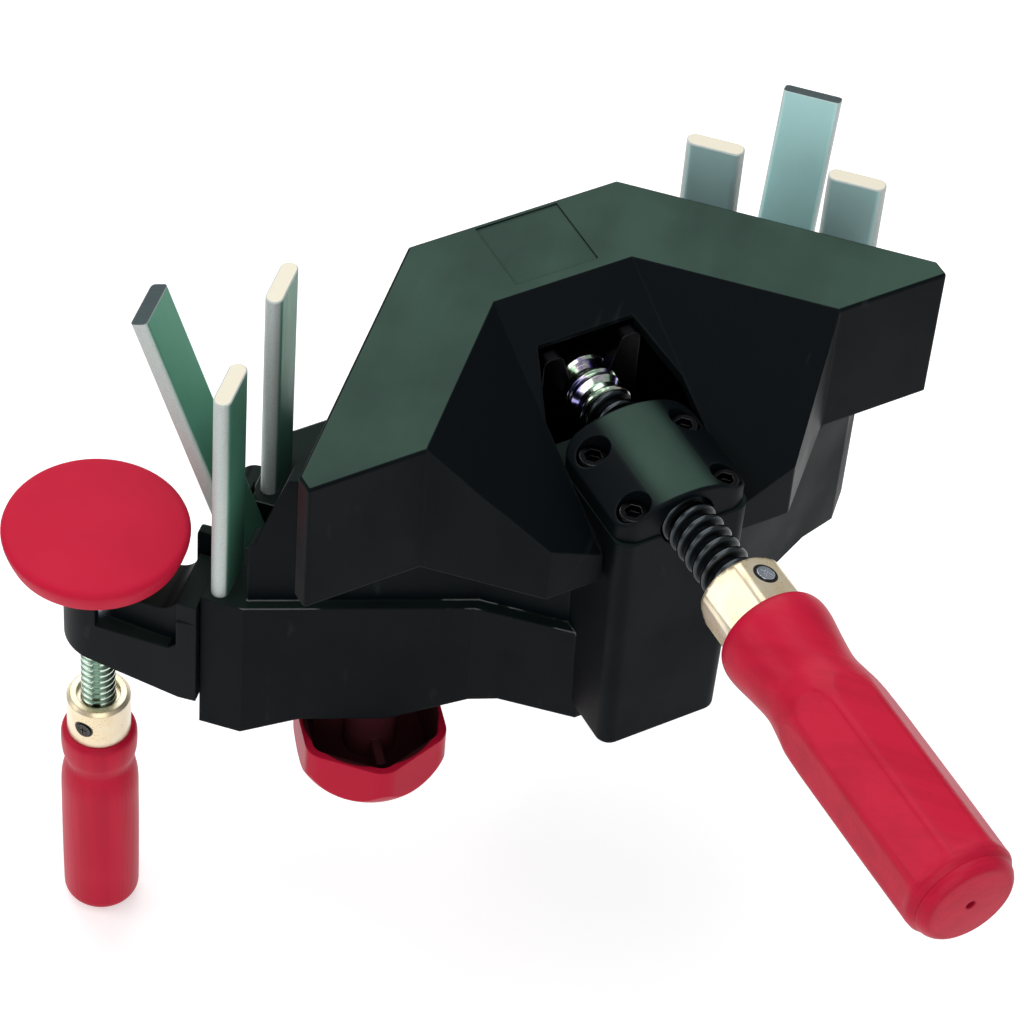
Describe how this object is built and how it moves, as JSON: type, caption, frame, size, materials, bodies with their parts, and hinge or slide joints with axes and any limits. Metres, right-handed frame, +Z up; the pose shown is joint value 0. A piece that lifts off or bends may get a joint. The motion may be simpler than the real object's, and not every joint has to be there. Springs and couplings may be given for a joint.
{
  "type": "door frame corner clamp",
  "caption": "Corner clamp for door frames: one spindle closes two levers that press the boards of a mitred corner against fixed bars, with a pressure disc on a sliding side arm.",
  "frame": {"origin": "the corner where the two boards' clamped faces meet, at the height of the deck the boards stand on", "axes": "left board against X = 0, right board against Y = 0, +Z up along the bars; the main spindle lies along the diagonal from the origin towards +X -Y"},
  "size_m": [0.3503, 0.3147, 0.271],
  "materials": {
    "housing_moulding": "satin black glass-filled moulding with a fine texture",
    "hood_moulding": "satin black moulding with a grey-green sheen",
    "cover_moulding": "satin black moulding, slightly lighter",
    "screw_steel": "black oxide",
    "nut_bronze": "turned",
    "spindle_steel": "bright zinc, oiled thread",
    "ferrule_steel": "yellow zinc, rubbed",
    "pin_steel": "bright zinc",
    "handle_wood": "red lacquer over turned wood",
    "yoke_steel": "dark, with worn bright edges",
    "beam_casting": "as cast, oiled",
    "bar_steel": "blue-green zinc, cut ends yellowish",
    "arm_casting": "black paint on a casting",
    "disc_plastic": "satin red",
    "knob_plastic": "satin to glossy red",
    "insert_brass": "turned"
  },
  "bodies": {
    "clamp_body": {"base_housing": "housing_moulding", "hood": "hood_moulding", "housing_screws": "screw_steel", "nut_cover": "cover_moulding", "nut_cover_screws": "screw_steel", "spindle_nut": "nut_bronze", "left_near_bar": "bar_steel", "left_far_bar": "bar_steel", "right_near_bar": "bar_steel", "right_far_bar": "bar_steel", "bar_cross_pins": "pin_steel", "left_pivot_pin": "pin_steel", "right_pivot_pin": "pin_steel", "clamp_nut": "screw_steel"},
    "yoke": {"yoke_plate": "yoke_steel", "thrust_beam": "beam_casting", "yoke_screws": "screw_steel"},
    "spindle": {"main_spindle": "spindle_steel", "main_ferrule": "ferrule_steel", "main_ferrule_pin": "pin_steel", "main_handle": "handle_wood"},
    "left_lever": {"left_lever_bar": "bar_steel", "left_lever_block": "beam_casting", "left_lever_rivets": "pin_steel", "left_drive_pin": "pin_steel"},
    "right_lever": {"right_lever_bar": "bar_steel", "right_lever_block": "beam_casting", "right_lever_rivets": "pin_steel", "right_drive_pin": "pin_steel"},
    "side_arm": {"support_arm": "arm_casting", "arm_tongue": "bar_steel", "tongue_pins": "pin_steel", "arm_bush": "pin_steel"},
    "disc": {"pressure_disc": "disc_plastic", "disc_retainer": "pin_steel"},
    "side_spindle": {"small_spindle": "spindle_steel", "small_ferrule": "ferrule_steel", "small_ferrule_pin": "pin_steel", "small_handle": "handle_wood"},
    "washer": {"knob_washer": "pin_steel"},
    "lock_knob": {"knob": "knob_plastic", "knob_insert": "insert_brass", "knob_bolt": "pin_steel"}
  },
  "joints": [
    {"name": "yoke_slide", "type": "slide", "parent": "clamp_body", "child": "yoke", "axis": [-0.7071, 0.7071, 0], "range_m": [0, 0.0147]},
    {"name": "spindle_turn", "type": "hinge", "parent": "yoke", "child": "spindle", "pos_m": [0.14142, -0.14142, 0.066], "axis": [-0.7071, 0.7071, 0], "range_deg": [0, 1058.5]},
    {"name": "left_lever_swing", "type": "hinge", "parent": "clamp_body", "child": "left_lever", "pos_m": [-0.006, -0.1415, -0.0144], "axis": [0, 1, 0], "range_deg": [0, 19.41]},
    {"name": "right_lever_swing", "type": "hinge", "parent": "clamp_body", "child": "right_lever", "pos_m": [0.1415, 0.006, -0.0144], "axis": [1, 0, 0], "range_deg": [0, 19.41]},
    {"name": "arm_slide", "type": "slide", "parent": "clamp_body", "child": "side_arm", "axis": [-0.9677, -0.2521, 0], "range_m": [0, 0.02]},
    {"name": "disc_slide", "type": "slide", "parent": "side_arm", "child": "disc", "axis": [0, 0, 1], "range_m": [-0.006, 0.014]},
    {"name": "side_spindle_turn", "type": "hinge", "parent": "disc", "child": "side_spindle", "pos_m": [-0.0404, -0.1725, 0], "axis": [0, 0, 1], "range_deg": [-720.1, 1680.1]},
    {"name": "knob_drop", "type": "slide", "parent": "clamp_body", "child": "washer", "axis": [0, 0, 1], "range_m": [-0.0025, 0]},
    {"name": "knob_turn", "type": "hinge", "parent": "washer", "child": "lock_knob", "pos_m": [0.0496, -0.1489, -0.06], "axis": [0, 0, 1], "range_deg": [-720.1, 0.1]}
  ],
  "couplings": [
    {"joint": "spindle_turn", "follows": "yoke_slide", "rad_per_m": 1256.6},
    {"joint": "left_lever_swing", "follows": "yoke_slide", "rad_per_m": 23.03},
    {"joint": "right_lever_swing", "follows": "yoke_slide", "rad_per_m": 23.03},
    {"joint": "side_spindle_turn", "follows": "disc_slide", "rad_per_m": 2094.4},
    {"joint": "knob_turn", "follows": "knob_drop", "rad_per_m": 5026.5}
  ]
}
